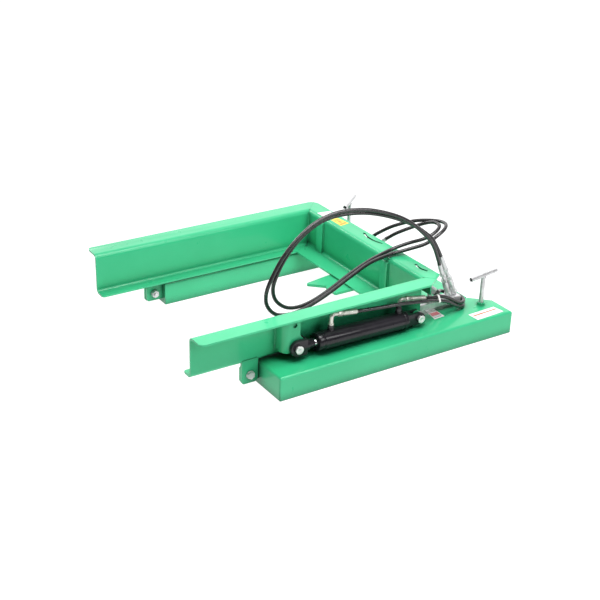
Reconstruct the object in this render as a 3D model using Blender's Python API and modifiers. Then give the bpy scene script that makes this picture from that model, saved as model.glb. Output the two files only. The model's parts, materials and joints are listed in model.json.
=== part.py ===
"""Hydraulic tilt base of a conduit bender.

A U-shaped tilt frame of bent Z-section plate hinges at its front on a low base of two wide boxes and a
crossmember. A hydraulic cylinder lies on each box and pushes a lever bracket on the frame, which raises
the frame's rear. Metres, +Z up. +X runs from the open front to the rear, +Y from the left side to the
right side. The origin is on the floor, at the middle of the footprint.
"""

import math

import bmesh
import bpy
from mathutils import Matrix, Vector

# ---- driving dimensions -------------------------------------------------------------------------
GAP = 0.0003                # clearance between touching pieces
LENGTH = 1.444              # front of the arms to the rear of the base
PLATE = 0.008               # thickness of the bent plate
FRAME_Z = (0.108, 0.283)    # underside and top of the tilt frame
WEB_Y = 0.420               # middle of an arm's web, from the centre plane
WEB_X = 0.3420              # middle of the rear beam's web
TOP_FLANGE = 0.0826         # top flange, outward from the middle of the web
LOW_FLANGE = 0.0566         # an arm's bottom flange, inward from the middle of the web
BEAM_LOW_FLANGE = 0.0987    # the beam's bottom flange, forward from the middle of the web
BEND = 0.020                # outer radius of the plate's bends
BOX_HEIGHT = 0.1016         # 4 in
BOX_WIDTH = 0.202           # about 8 in
BOX_FRONT = -0.425
BOX_OUTER = 0.5765
BOX_REAR = {"left": 0.722, "right": 0.680}
BOX_WALL = 0.008
CROSS_X = (0.4418, 0.640)   # front and rear of the crossmember
PIVOT = (-0.467, 0.056)     # x and z of the frame's hinge
LUG_R = 0.036
LUG_CORNER_R = 0.011        # front lower corner
LUG_REAR_R = 0.0165         # rear lower corner, clear of the box as the frame tilts
LUG_T = 0.0127
BOLT_R = 0.0095
CYL_Y = 0.476               # middle plane of a cylinder, from the centre plane
BASE_PIN = (0.288, 0.141)   # x and z
ROD_PIN = (-0.298, 0.155)
PIN_R = 0.0127
BARREL_R = 0.0381
BORE_R = 0.0310
ROD_R = 0.015
BARREL_X = (-0.466, -0.081)  # along the cylinder, from the base pin towards the rod pin
ROD_EAR_R = 0.0315
BASE_EAR_R = 0.025
EAR_T = 0.014               # one ear of a clevis
LUG_GAP = 0.0164            # between a clevis's ears
BRACKET_T = 0.010
PIN_HOLE_PLAY = 0.0045      # the open pivot's clearance in the lever bracket
LOCKS = {"left": (0.645, -0.461, 0.12), "right": (0.630, 0.504, 0.66)}  # x, y, turn of the bar
LOCK_TOP = 0.240
LOCK_R = 0.0098
LOCK_BAR = 0.155
SIDES = {"left": -1, "right": 1}

# The top flange's rear corners in plan, as (x, distance from the centre plane).
CORNERS = {"left": [(0.331, 0.5026), (0.4302, 0.432)],
           "right": [(0.388, 0.5028), (0.403, 0.499), (0.415, 0.490), (0.4225, 0.478), (0.4250, 0.463)]}

# Hydraulics
HOSE_R = 0.0078
FERRULE_R = 0.0095
END_GAP = 0.0010            # between a hose's end and its ferrule
BAR_TOP = 0.150             # top of the left manifold bar

# A quick coupler: its foot, the hose's end, and its sizes along the way: (from, to, radius) where it is
# round, and (from, to, size across) where it has a hexagon. The sleeve runs on the third round length.
COUPLERS = {
    "a": {
        "foot": (0.511, -0.400, 0.158), "tip": (0.4502, -0.400, 0.3060),
        "round": [(0.000, 0.034, 0.0115), (0.034, 0.070, 0.0095), (0.070, 0.110, 0.0065),
                  (0.110, None, FERRULE_R)],
        "hex": [(0.0008, 0.012, 0.0250), (0.069, 0.082, 0.0220), (0.100, 0.1115, 0.0205)],
        "sleeve": (0.0385, 0.0620, 0.0120),
    },
    "b": {
        "foot": (0.543, -0.400, 0.158), "tip": (0.4590, -0.393, 0.3400),
        "round": [(0.000, 0.040, 0.0130), (0.040, 0.078, 0.0110), (0.078, 0.132, 0.0085),
                  (0.132, None, 0.0100)],
        "hex": [(0.0008, 0.012, 0.0275), (0.077, 0.092, 0.0250), (0.120, 0.1335, 0.0215)],
        "sleeve": (0.0445, 0.0700, 0.0138),
    },
}

# Hoses that the object holds all the way, as (x, distance from the centre plane, z). The first two lie on
# a cylinder as far as the tie, the others go on from the tie to a manifold.
FRONT_HOSE = [(-0.0157, 0.476, 0.2384), (0.012, 0.477, 0.2362), (0.070, 0.484, 0.234), (0.130, 0.493, 0.233),
              (0.190, 0.4985, 0.231), (0.250, 0.500, 0.2235), (0.310, 0.4965, 0.212), (0.350, 0.4885, 0.2015),
              (0.387, 0.4815, 0.1895)]
REAR_HOSE = [(0.3265, 0.476, 0.2135), (0.342, 0.4755, 0.2105), (0.362, 0.474, 0.207), (0.387, 0.4715, 0.2033)]
LEFT_FRONT_TAIL = [(0.400, 0.4785, 0.1855), (0.445, 0.473, 0.168), (0.490, 0.466, 0.141),
                   (0.525, 0.458, 0.120), (0.555, 0.4475, 0.1115), (0.577, 0.425, 0.1105),
                   (0.585, 0.395, 0.1105), (0.577, 0.365, 0.1105), (0.553, 0.343, 0.112),
                   (0.520, 0.335, 0.121), (0.487, 0.350, 0.140), (0.4575, 0.3672, 0.1637)]
LEFT_REAR_TAIL = [(0.400, 0.470, 0.201), (0.445, 0.465, 0.186), (0.490, 0.460, 0.160), (0.525, 0.4565, 0.138),
                  (0.555, 0.447, 0.1295), (0.577, 0.425, 0.1280), (0.585, 0.395, 0.1280),
                  (0.577, 0.365, 0.1285), (0.553, 0.343, 0.1325), (0.520, 0.340, 0.1450),
                  (0.496, 0.357, 0.156), (0.476, 0.380, 0.167), (0.455, 0.400, 0.180),
                  (0.4325, 0.4065, 0.1962)]
RIGHT_FRONT_TAIL = [(0.400, 0.4785, 0.1855), (0.450, 0.476, 0.168), (0.500, 0.452, 0.150),
                    (0.524, 0.400, 0.142), (0.514, 0.343, 0.144), (0.482, 0.287, 0.152),
                    (0.448, 0.248, 0.168), (0.418, 0.218, 0.187), (0.396, 0.196, 0.204),
                    (0.3850, 0.175, 0.2128), (0.384, 0.1570, 0.214)]
RIGHT_REAR_TAIL = [(0.400, 0.470, 0.201), (0.450, 0.464, 0.185), (0.495, 0.440, 0.168),
                   (0.515, 0.395, 0.160), (0.505, 0.345, 0.163), (0.475, 0.297, 0.172),
                   (0.442, 0.256, 0.189), (0.414, 0.223, 0.209), (0.394, 0.196, 0.227),
                   (0.385, 0.174, 0.235), (0.384, 0.1570, 0.236)]

# Free hoses, from a quick coupler forward in a tall loop, back over the beam, round a second loop behind it
# and down to the right manifold, as (x, y, z). Chosen by hand.
HOSE_A = [(0.4500, -0.400, 0.3065), (0.438, -0.400, 0.338), (0.412, -0.400, 0.395), (0.374, -0.397, 0.446),
          (0.291, -0.384, 0.521), (0.202, -0.366, 0.567), (0.094, -0.345, 0.598), (-0.014, -0.329, 0.603),
          (-0.106, -0.322, 0.582), (-0.192, -0.324, 0.535), (-0.271, -0.331, 0.467), (-0.329, -0.338, 0.385),
          (-0.349, -0.338, 0.325), (-0.339, -0.337, 0.274), (-0.296, -0.336, 0.231), (-0.216, -0.326, 0.213),
          (-0.127, -0.312, 0.220), (-0.016, -0.288, 0.242), (0.103, -0.255, 0.269), (0.228, -0.218, 0.290),
          (0.352, -0.194, 0.2935), (0.431, -0.210, 0.306), (0.499, -0.243, 0.330), (0.548, -0.258, 0.363),
          (0.596, -0.246, 0.382), (0.626, -0.208, 0.386), (0.622, -0.145, 0.377), (0.567, -0.076, 0.362),
          (0.496, -0.020, 0.332), (0.451, 0.022, 0.295), (0.436, 0.050, 0.268)]
HOSE_B = [(0.4588, -0.393, 0.3405), (0.446, -0.392, 0.366), (0.416, -0.384, 0.420), (0.377, -0.376, 0.457),
          (0.318, -0.366, 0.499), (0.215, -0.350, 0.547), (0.104, -0.333, 0.578), (-0.005, -0.317, 0.584),
          (-0.095, -0.308, 0.566), (-0.182, -0.308, 0.517), (-0.249, -0.312, 0.450), (-0.292, -0.316, 0.380),
          (-0.303, -0.314, 0.328), (-0.287, -0.312, 0.279), (-0.243, -0.310, 0.240), (-0.183, -0.303, 0.222),
          (-0.103, -0.289, 0.223), (-0.001, -0.266, 0.243), (0.119, -0.231, 0.270), (0.246, -0.194, 0.289),
          (0.375, -0.158, 0.2945), (0.452, -0.180, 0.318), (0.512, -0.222, 0.345), (0.563, -0.226, 0.366),
          (0.598, -0.205, 0.379), (0.603, -0.160, 0.378), (0.585, -0.112, 0.358), (0.530, -0.073, 0.330),
          (0.489, -0.048, 0.308), (0.468, -0.034, 0.292), (0.456, -0.0225, 0.2795)]

for old in list(bpy.data.objects):
    bpy.data.objects.remove(old, do_unlink=True)

parts = bpy.data.collections.new("conduit_bender_tilt_base")
cutters = bpy.data.collections.new("cutters")
bpy.context.scene.collection.children.link(parts)
bpy.context.scene.collection.children.link(cutters)


# ---- materials ----------------------------------------------------------------------------------
def material(name, colour, roughness, metallic):
    m = bpy.data.materials.new(name)
    m.use_nodes = True
    shader = m.node_tree.nodes["Principled BSDF"]
    shader.inputs["Base Color"].default_value = (*colour, 1)
    shader.inputs["Roughness"].default_value = roughness
    shader.inputs["Metallic"].default_value = metallic
    m.diffuse_color = (*colour, 1)
    return m


GREEN = ((0.05, 0.42, 0.22), 0.35, 0.0)
BLACK = ((0.02, 0.02, 0.022), 0.3, 0.0)
ZINC = ((0.72, 0.72, 0.70), 0.3, 1.0)
CHROME = ((0.80, 0.80, 0.80), 0.1, 1.0)
RUBBER = ((0.02, 0.02, 0.02), 0.6, 0.0)
STEEL = ((0.45, 0.45, 0.46), 0.4, 1.0)


# ---- building blocks ----------------------------------------------------------------------------
def link(name, data, finish, parent=None):
    """A new object in the parts collection, with its own material, under its joint's empty."""
    o = bpy.data.objects.new(name, data)
    parts.objects.link(o)
    data.materials.clear()
    data.materials.append(material(name, *finish))
    if parent is not None:
        o.parent = parent
        o.matrix_parent_inverse = parent.matrix_world.inverted()
    return o


def axis_empty(name, place, turn_y=0.0):
    e = bpy.data.objects.new(name, None)
    e.location = place
    e.rotation_euler = (0, turn_y, 0)
    parts.objects.link(e)
    bpy.context.view_layer.update()
    return e


def take(bm):
    """The bmesh as new mesh data, with its faces pointing out."""
    bmesh.ops.remove_doubles(bm, verts=bm.verts, dist=1e-6)
    bmesh.ops.recalc_face_normals(bm, faces=bm.faces)
    data = bpy.data.meshes.new("mesh")
    bm.to_mesh(data)
    bm.free()
    return data


def smooth(data, angle=0.6):
    data.shade_smooth()
    data.set_sharp_from_angle(angle=angle)
    return data


def block_bm(low, high, bevel=0.0, segments=2):
    bm = bmesh.new()
    bmesh.ops.create_cube(bm, size=1.0)
    low, high = Vector(low), Vector(high)
    size = high - low
    bmesh.ops.scale(bm, vec=size, verts=bm.verts)
    bmesh.ops.translate(bm, vec=(low + high) / 2, verts=bm.verts)
    if bevel:
        bmesh.ops.bevel(bm, geom=list(bm.edges), offset=bevel, segments=segments, affect="EDGES", profile=0.5)
    return bm


def block(low, high, bevel=0.0, segments=2):
    return take(block_bm(low, high, bevel, segments))


def turned(profile, steps=24):
    """A solid of revolution about the local Z axis: profile is (radius, height) from top to bottom on the
    outer side, and it is closed by the axis or by its own first point."""
    bm = bmesh.new()
    points = [bm.verts.new((r, 0, z)) for r, z in profile]
    for a, b in zip(points, points[1:]):
        bm.edges.new((a, b))
    data = bpy.data.meshes.new("profile")
    bm.to_mesh(data)
    bm.free()
    guide = bpy.data.objects.new("profile", data)
    cutters.objects.link(guide)
    screw = guide.modifiers.new("Screw", "SCREW")
    screw.steps = screw.render_steps = steps
    screw.use_merge_vertices = True
    screw.merge_threshold = 0.00001
    bpy.context.view_layer.update()
    solid = bpy.data.meshes.new_from_object(guide.evaluated_get(bpy.context.evaluated_depsgraph_get()))
    bpy.data.objects.remove(guide, do_unlink=True)
    bm = bmesh.new()
    bm.from_mesh(solid)
    bpy.data.meshes.remove(solid)
    return take(bm)


def rod_profile(radius, bottom, top, chamfer=0.0):
    c = chamfer
    if not c:
        return [(0, top), (radius, top), (radius, bottom), (0, bottom)]
    return [(0, top), (radius - c, top), (radius, top - c), (radius, bottom + c), (radius - c, bottom),
            (0, bottom)]


def ring_profile(inner, outer, bottom, top):
    return [(inner, top), (outer, top), (outer, bottom), (inner, bottom), (inner, top)]


def along(data, start, direction):
    """Moves mesh data built about Z so that it starts at start and runs along direction."""
    turn = Vector((0, 0, 1)).rotation_difference(Vector(direction).normalized()).to_matrix().to_4x4()
    data.transform(Matrix.Translation(Vector(start)) @ turn)
    return data


def arc(centre, radius, first, last, steps):
    """Points on an arc, by angle in degrees, both ends included."""
    turns = [math.radians(first + (last - first) * i / steps) for i in range(steps + 1)]
    return [(centre[0] + radius * math.cos(t), centre[1] + radius * math.sin(t)) for t in turns]


def prism(outline, thickness, matrix):
    """A flat outline of (u, v) points, extruded to both sides of its plane, then placed by matrix."""
    curve = bpy.data.curves.new("outline", "CURVE")
    curve.dimensions = "2D"
    curve.fill_mode = "BOTH"
    curve.extrude = thickness / 2
    spline = curve.splines.new("POLY")
    spline.points.add(len(outline) - 1)
    for point, (u, v) in zip(spline.points, outline):
        point.co = (u, v, 0, 1)
    spline.use_cyclic_u = True
    guide = bpy.data.objects.new("outline", curve)
    cutters.objects.link(guide)
    bpy.context.view_layer.update()
    data = bpy.data.meshes.new_from_object(guide.evaluated_get(bpy.context.evaluated_depsgraph_get()))
    bpy.data.objects.remove(guide, do_unlink=True)
    bm = bmesh.new()
    bm.from_mesh(data)
    bpy.data.meshes.remove(data)
    bmesh.ops.transform(bm, matrix=matrix, verts=bm.verts)
    return take(bm)


def side_plane(y):
    """Places an outline of (x, z) points in the vertical plane at y."""
    return Matrix(((1, 0, 0, 0), (0, 0, -1, y), (0, 1, 0, 0), (0, 0, 0, 1)))


def flat_plane(z):
    return Matrix.Translation((0, 0, z))


def front_plane(x):
    """Places an outline of (y, z) points in the vertical plane at x."""
    return Matrix(((0, 0, 1, x), (1, 0, 0, 0), (0, 1, 0, 0), (0, 0, 0, 1)))


def boolean(target, tools, operation="DIFFERENCE"):
    """Applies mesh data tools to the mesh data target with the EXACT solver."""
    body = bpy.data.objects.new("body", target)
    cutters.objects.link(body)
    made = []
    for data in tools:
        tool = bpy.data.objects.new("tool", data)
        tool.hide_render = True
        tool.display_type = "WIRE"
        cutters.objects.link(tool)
        made.append(tool)
        modifier = body.modifiers.new("cut", "BOOLEAN")
        modifier.operation = operation
        modifier.solver = "EXACT"
        modifier.object = tool
    bpy.context.view_layer.update()
    result = bpy.data.meshes.new_from_object(body.evaluated_get(bpy.context.evaluated_depsgraph_get()))
    for o in [body, *made]:
        bpy.data.objects.remove(o, do_unlink=True)
    bm = bmesh.new()
    bm.from_mesh(result)
    bpy.data.meshes.remove(result)
    return take(bm)


def drill(place, direction, radius, length):
    """A round cutter centred on place."""
    start = Vector(place) - Vector(direction).normalized() * length / 2
    return along(turned(rod_profile(radius, 0, length)), start, direction)


def smooth_route(points, spacing):
    """Points along the smooth Catmull-Rom curve through the route's own points."""
    p = [Vector(q) for q in points]
    p = [2 * p[0] - p[1], *p, 2 * p[-1] - p[-2]]
    out = []
    for a, b, c, d in zip(p, p[1:], p[2:], p[3:]):
        steps = max(1, round((c - b).length / spacing))
        for i in range(steps):
            t = i / steps
            out.append(0.5 * (2 * b + (c - a) * t + (2 * a - 5 * b + 4 * c - d) * t * t
                              + (3 * b - a - 3 * c + d) * t ** 3))
    out.append(p[-2])
    return out


def tube(name, points, radius, finish, parent=None):
    curve = bpy.data.curves.new(name, "CURVE")
    curve.dimensions = "3D"
    curve.bevel_depth = radius
    curve.bevel_resolution = 2
    curve.use_fill_caps = True
    spline = curve.splines.new("POLY")
    spline.points.add(len(points) - 1)
    for point, q in zip(spline.points, points):
        point.co = (*q, 1)
    return link(name, curve, finish, parent)


# ---- the base -----------------------------------------------------------------------------------
def base_box(side, sign):
    """A formed box, open underneath, with a chamfered inner rear corner."""
    inner = BOX_OUTER - BOX_WIDTH
    rear = BOX_REAR[side]
    outline = [(BOX_FRONT, BOX_OUTER), (rear, BOX_OUTER), (rear, 0.450), (CROSS_X[1] + 0.004, inner),
               (BOX_FRONT, inner)]
    outline = [(x, sign * y) for x, y in outline]
    shell = prism(outline, BOX_HEIGHT, flat_plane(BOX_HEIGHT / 2))
    bm = bmesh.new()
    bm.from_mesh(shell)
    top = [e for e in bm.edges if all(v.co.z > BOX_HEIGHT - 1e-5 for v in e.verts) and len(e.link_faces) == 2
           and e.calc_face_angle() > 0.5]
    bmesh.ops.bevel(bm, geom=top, offset=0.010, segments=5, affect="EDGES", profile=0.5)
    shell = take(bm)
    w = BOX_WALL
    hollow = [(BOX_FRONT + w, BOX_OUTER - w), (rear - w, BOX_OUTER - w), (rear - w, 0.450 + w),
              (CROSS_X[1], inner + w), (BOX_FRONT + w, inner + w)]
    hollow = [(x, sign * y) for x, y in hollow]
    cavity = prism(hollow, BOX_HEIGHT, flat_plane(BOX_HEIGHT / 2 - w))
    x, y, _ = LOCKS[side]
    hole = drill((x, y, BOX_HEIGHT), (0, 0, 1), LOCK_R + 2 * GAP, 0.06)
    return link(f"{side}_base_box", smooth(boolean(shell, [cavity, hole])), GREEN)


def crossmember():
    inner = BOX_OUTER - BOX_WIDTH - GAP
    outer = block((CROSS_X[0], -inner, 0), (CROSS_X[1], inner, BOX_HEIGHT))
    w = BOX_WALL
    cavity = block((CROSS_X[0] + w, -inner + w, -0.01), (CROSS_X[1] - w, inner - w, BOX_HEIGHT - w))
    return link("rear_crossmember", boolean(outer, [cavity]), GREEN)


def rest_plate():
    """The flat plate in front of the crossmember that the beam rests on, with its pointed tongue."""
    rear = CROSS_X[0] - GAP
    outline = [(rear, -0.075), (0.166, -0.075), (0.160, -0.070), (0.160, -0.004), (0.168, 0.004),
               (0.108, 0.058), (0.106, 0.064), (0.110, 0.070), (0.232, 0.092), (rear, 0.120)]
    thick = 0.0125
    return link("rest_plate", prism(outline, thick, flat_plane(FRAME_Z[0] - GAP - thick / 2)), GREEN)


def lug_outline(front, rear, bottom, top):
    """A plate with rounded lower corners."""
    r = LUG_CORNER_R
    q = LUG_REAR_R
    return [(front, top), *arc((front + r, bottom + r), r, 180, 270, 6),
            *arc((rear - q, bottom + q), q, 270, 360, 8), (rear, top)]


def pivot_ear(side, sign):
    """The base's half of the hinge, welded to the front of the box."""
    middle = WEB_Y + PLATE / 2 - LUG_T * 1.5 - GAP
    x, z = PIVOT
    reach = LUG_R - 0.0015
    r = LUG_CORNER_R
    outline = [*arc((x - reach + r, z + reach - r), r, 90, 180, 6),
               *arc((x - reach + r, z - reach + r), r, 180, 270, 6),
               (BOX_FRONT - GAP, z - reach), (BOX_FRONT - GAP, z + reach)]
    plate = prism(outline, LUG_T - GAP, side_plane(sign * middle))
    hole = drill((x, sign * middle, z), (0, 1, 0), BOLT_R + GAP, 0.05)
    return link(f"{side}_pivot_ear", boolean(plate, [hole]), GREEN)


def hex_profile(across, height):
    bm = bmesh.new()
    corner = across / math.sqrt(3)
    bmesh.ops.create_cone(bm, cap_ends=True, segments=6, radius1=corner, radius2=corner, depth=height)
    bmesh.ops.translate(bm, vec=(0, 0, height / 2), verts=bm.verts)
    return take(bm)


def pivot_bolt(side, sign):
    """A hex bolt from the arm's outer side, and its nut inside the ear."""
    x, z = PIVOT
    outer = WEB_Y + PLATE / 2 + GAP
    inner = outer - GAP - 2 * LUG_T - 2 * GAP
    inward = (0, -sign, 0)
    head = along(hex_profile(0.0285, 0.0095), (x, sign * (outer + 0.012), z), inward)
    flange = along(turned(rod_profile(0.0170, 0, 0.003, 0.0008)), (x, sign * (outer + 0.003), z), inward)
    shank = along(turned(rod_profile(BOLT_R, 0, 0.058, 0.001)), (x, sign * (outer + 0.006), z), inward)
    bolt = boolean(flange, [head, shank], "UNION")
    link(f"{side}_pivot_bolt", bolt, ZINC)
    nut = along(hex_profile(0.0285, 0.016), (x, sign * inner, z), inward)
    hole = drill((x, sign * inner, z), (0, 1, 0), BOLT_R + GAP, 0.08)
    link(f"{side}_pivot_nut", boolean(nut, [hole]), ZINC)


def cylinder_lug(side, sign):
    """The plate between the barrel clevis's ears, welded on the box."""
    x, z = BASE_PIN
    radius = 0.0240
    foot = BOX_HEIGHT + GAP
    outline = [(x - radius, foot), (x + 0.038, foot), (x + 0.038, foot + 0.010),
               *arc((x, z), radius, 0, 180, 12)]
    thick = LUG_GAP - 4 * GAP
    plate = prism(outline, thick, side_plane(sign * CYL_Y))
    hole = drill((x, sign * CYL_Y, z), (0, 1, 0), PIN_R + GAP, 0.05)
    return link(f"{side}_cylinder_lug", boolean(plate, [hole]), GREEN)


def cross_pin(name, place, parent, length):
    """A clevis pin along Y, with a broad head at its outer end."""
    x, y, z = place
    sign = 1 if y > 0 else -1
    head = PIN_R + 0.0042
    profile = [(0, length), (PIN_R - 0.0015, length), (PIN_R, length - 0.0015), (PIN_R, 0.0035),
               (head, 0.0035), (head, 0.001), (head - 0.0012, 0), (0, 0)]
    data = along(turned(profile), (x, y + sign * length / 2, z), (0, -sign, 0))
    return link(name, smooth(data), ZINC, parent)


def lock_collar(side):
    x, y, _ = LOCKS[side]
    data = turned(ring_profile(LOCK_R + 2 * GAP, 0.0172, 0, 0.013))
    data.transform(Matrix.Translation((x, y, BOX_HEIGHT + GAP)))
    return link(f"{side}_lock_collar", smooth(data), GREEN)


def lock_pin(side):
    """A T-handled pin: a round shaft under a tube handle."""
    x, y, turn = LOCKS[side]
    axis = axis_empty(f"{side}_lock_axis", (x, y, BOX_HEIGHT))
    half = LOCK_BAR / 2
    handle = turned(ring_profile(0.0070, 0.0098, -half, half), 20)
    lean = Vector((math.cos(turn), math.sin(turn), 0.03))
    handle = along(handle, (x, y, LOCK_TOP), lean)
    shaft = turned(rod_profile(LOCK_R, 0.035, LOCK_TOP - 0.0078, 0.002), 24)
    shaft.transform(Matrix.Translation((x, y, 0)))
    return link(f"{side}_lock_pin", smooth(boolean(handle, [shaft], "UNION")), ZINC, axis)


# ---- the tilt frame -----------------------------------------------------------------------------
def z_section(low_flange):
    """The bent plate's section as (outward, height) points: top flange outward, bottom flange inward."""
    low, top = FRAME_Z
    t, r = PLATE, BEND
    h = t / 2
    upper_out = arc((h + r - t, top - r), r - t, 180, 90, 8)
    upper_in = arc((-h + r, top - r), r, 90, 180, 8)
    lower_in = arc((-h - r + t, low + r), r - t, 0, -90, 8)
    lower_out = arc((h - r, low + r), r, 270, 360, 8)
    return [(TOP_FLANGE, top), *upper_in, *lower_in, (-low_flange, low + t), (-low_flange, low),
            *lower_out, *upper_out, (TOP_FLANGE, top - t)]


def z_bar(start, end, low_flange):
    """The Z section run along local X. Local Y is outward."""
    turn = Matrix(((0, 0, 1, (start + end) / 2), (1, 0, 0, 0), (0, 1, 0, 0), (0, 0, 0, 1)))
    return prism(z_section(low_flange), end - start, turn)


def mitre_cutter(sign, shift, far_x):
    """Everything on one side of the corner weld's line, in plan, as far as far_x."""
    inner = (WEB_X - 1.2 * BEAM_LOW_FLANGE, WEB_Y - 1.2 * LOW_FLANGE)
    outer = (WEB_X + 0.12, WEB_Y + 0.12)
    line = [inner, (WEB_X, WEB_Y), outer]
    if far_x > 0:
        plan = [*line, (far_x, outer[1]), (far_x, 0), (inner[0], 0)]
    else:
        plan = [*line, (far_x, outer[1]), (far_x, inner[1])]
    return prism([(x + shift, sign * y) for x, y in plan], 0.5, flat_plane(0.2))


def corner_cutter(side, sign):
    """Takes the flange's rear corner off."""
    corner = CORNERS[side]
    outline = [*corner, (0.60, corner[-1][1]), (0.60, 0.60), (corner[0][0], 0.60)]
    return prism([(x, sign * y) for x, y in outline], 0.08, flat_plane(FRAME_Z[1]))


def under_flange_cutter(sign):
    """The space that the web's outer face and the top flange fill, with the clearance of a weld."""
    low, top = FRAME_Z
    inner = BEND - PLATE
    fillet = arc((PLATE / 2 + inner, top - BEND), inner - GAP, 180, 90, 8)
    outline = [(0, top + 0.02), (0, low + BEND), (PLATE / 2 + GAP, low + BEND), *fillet,
               (0.12, top - PLATE - GAP), (0.12, top + 0.02)]
    return prism([(sign * (WEB_Y + o), z) for o, z in outline], LENGTH, front_plane(0))


def arm(side, sign, axis):
    data = z_bar(-LENGTH / 2, WEB_X + TOP_FLANGE, LOW_FLANGE)
    data.transform(Matrix.Translation((0, sign * WEB_Y, 0)) @ Matrix.Diagonal((1, sign, 1, 1)))
    bm = bmesh.new()
    bm.from_mesh(data)
    front = -LENGTH / 2
    tips = [(sign * (WEB_Y + TOP_FLANGE), 0.020), (sign * (WEB_Y - LOW_FLANGE), 0.012)]
    for y, radius in tips:
        edge = [e for e in bm.edges
                if all(abs(v.co.y - y) < 1e-5 and abs(v.co.x - front) < 1e-5 for v in e.verts)]
        bmesh.ops.bevel(bm, geom=edge, offset=radius, segments=8, affect="EDGES", profile=0.5)
    data = take(bm)
    cuts = [mitre_cutter(sign, -1.5 * GAP, 0.9), corner_cutter(side, sign)]
    return link(f"{side}_arm", smooth(boolean(data, cuts)), GREEN, axis)


def slot_outline(centre, radius, half_angle, width):
    """A curved slot, round a centre behind the beam, as a closed outline in plan."""
    inner, outer = radius - width / 2, radius + width / 2
    return [*arc(centre, outer, 180 - half_angle, 180 + half_angle, 10),
            *arc(centre, inner, 180 + half_angle, 180 - half_angle, 10)]


def rear_beam(axis):
    half = WEB_Y + TOP_FLANGE
    data = z_bar(-half, half, BEAM_LOW_FLANGE)
    turn = Matrix(((0, 1, 0, WEB_X), (-1, 0, 0, 0), (0, 0, 1, 0), (0, 0, 0, 1)))
    data.transform(turn)
    tools = []
    for side, sign in SIDES.items():
        tools += [corner_cutter(side, sign), mitre_cutter(sign, 0, -0.9)]
    for y, reach, radius in ((-0.346, 0.042, 0.085), (0.005, 0.070, 0.160)):
        outline = slot_outline((0.391 + radius, y), radius, math.degrees(reach / radius), 0.010)
        tools.append(prism(outline, 0.05, flat_plane(FRAME_Z[1])))
    data = boolean(data, tools)
    ribs = [block((WEB_X - 0.0135, y - 0.024, FRAME_Z[0] + 0.005), (WEB_X, y + 0.024, FRAME_Z[1] - 0.021))
            for y in (-0.182, 0.312)]
    return link("rear_beam", smooth(boolean(data, ribs, "UNION")), GREEN, axis)


def hanger_plate(axis):
    """A plate under the beam's top flange, behind the left corner."""
    top = FRAME_Z[1] - PLATE - GAP
    plate = block((0.374, -0.445, 0.203), (0.374 + PLATE, -0.345, top))
    return link("left_hanger_plate", plate, GREEN, axis)


def pivot_lug(side, sign, axis):
    """The frame's half of the hinge, welded under the arm's bend."""
    outer = WEB_Y + PLATE / 2
    x, z = PIVOT
    outline = lug_outline(x - LUG_R, x + LUG_R - 0.001, z - LUG_R, FRAME_Z[0] + 0.016)
    plate = prism(outline, LUG_T, side_plane(sign * (outer - LUG_T / 2)))
    r = BEND + GAP
    bottom = FRAME_Z[0] - GAP
    bend = [*arc((outer + GAP - r, bottom + r), r, 270, 360, 8), (outer + GAP, bottom + 0.06),
            (outer - 0.08, bottom + 0.06), (outer - 0.08, bottom)]
    bend = [(sign * y, z) for y, z in bend]
    cutter = prism(bend, 0.2, front_plane(PIVOT[0]))
    hole = drill((PIVOT[0], sign * outer, PIVOT[1]), (0, 1, 0), BOLT_R + GAP, 0.06)
    return link(f"{side}_pivot_lug", boolean(plate, [cutter, hole]), GREEN, axis)


def lever_bracket(side, sign, axis):
    """A plate bent out from the web to the cylinder's plane. The rod pin pushes it."""
    web = WEB_Y + PLATE / 2 + GAP
    h = BRACKET_T / 2
    r = 0.030
    bend_x = ROD_PIN[0] - 0.026
    outer = arc((bend_x, CYL_Y + h - r), r, 90, 180, 6)
    inner = arc((bend_x, CYL_Y + h - r), r - BRACKET_T, 180, 90, 6)
    rear = ROD_PIN[0] + 0.0330
    plan = [(rear, CYL_Y + h), *outer, (bend_x - r - 0.004, web), (bend_x - r + BRACKET_T - 0.004, web),
            *inner, (rear, CYL_Y - h)]
    low, high = ROD_PIN[1] - 0.0330, FRAME_Z[1] - PLATE - GAP
    body = prism([(x, sign * y) for x, y in plan], high - low, flat_plane((high + low) / 2))
    x, z = ROD_PIN
    keep = 0.0325
    over = [(rear + 0.01, 0.30), (x + 0.018, 0.30), (x + 0.018, 0.205), (x + 0.022, 0.195),
            (rear + 0.01, 0.180)]
    over = prism(over, 0.4, side_plane(sign * CYL_Y))
    lobe = [(x, z - keep - 0.02), (x + 0.06, z - keep - 0.02), (x + 0.06, z + 0.02),
            (x + keep, z + 0.008), *arc((x, z), keep, 0, -90, 8)]
    lobe = prism(lobe, 0.4, side_plane(sign * CYL_Y))
    under = prism([(x - 0.10, 0.05), (x - 0.012, 0.05), (x - 0.016, z - 0.018), (x - 0.10, z - 0.018)], 0.4,
                  side_plane(sign * CYL_Y))
    pin_hole = drill((x, sign * CYL_Y, z), (0, 1, 0), PIN_R + PIN_HOLE_PLAY, 0.05)
    top_hole = drill((x - 0.006, sign * CYL_Y, 0.250), (0, 1, 0), 0.0095, 0.05)
    cuts = [over, lobe, under, pin_hole, top_hole, under_flange_cutter(sign)]
    return link(f"{side}_lever_bracket", boolean(body, cuts), GREEN, axis)


# ---- a cylinder, in its own frame: origin on the base pin, the rod pin at -X ----------------------
def in_cylinder(axis, name, data, finish):
    o = link(name, data, finish)
    o.parent = axis
    return o


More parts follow.
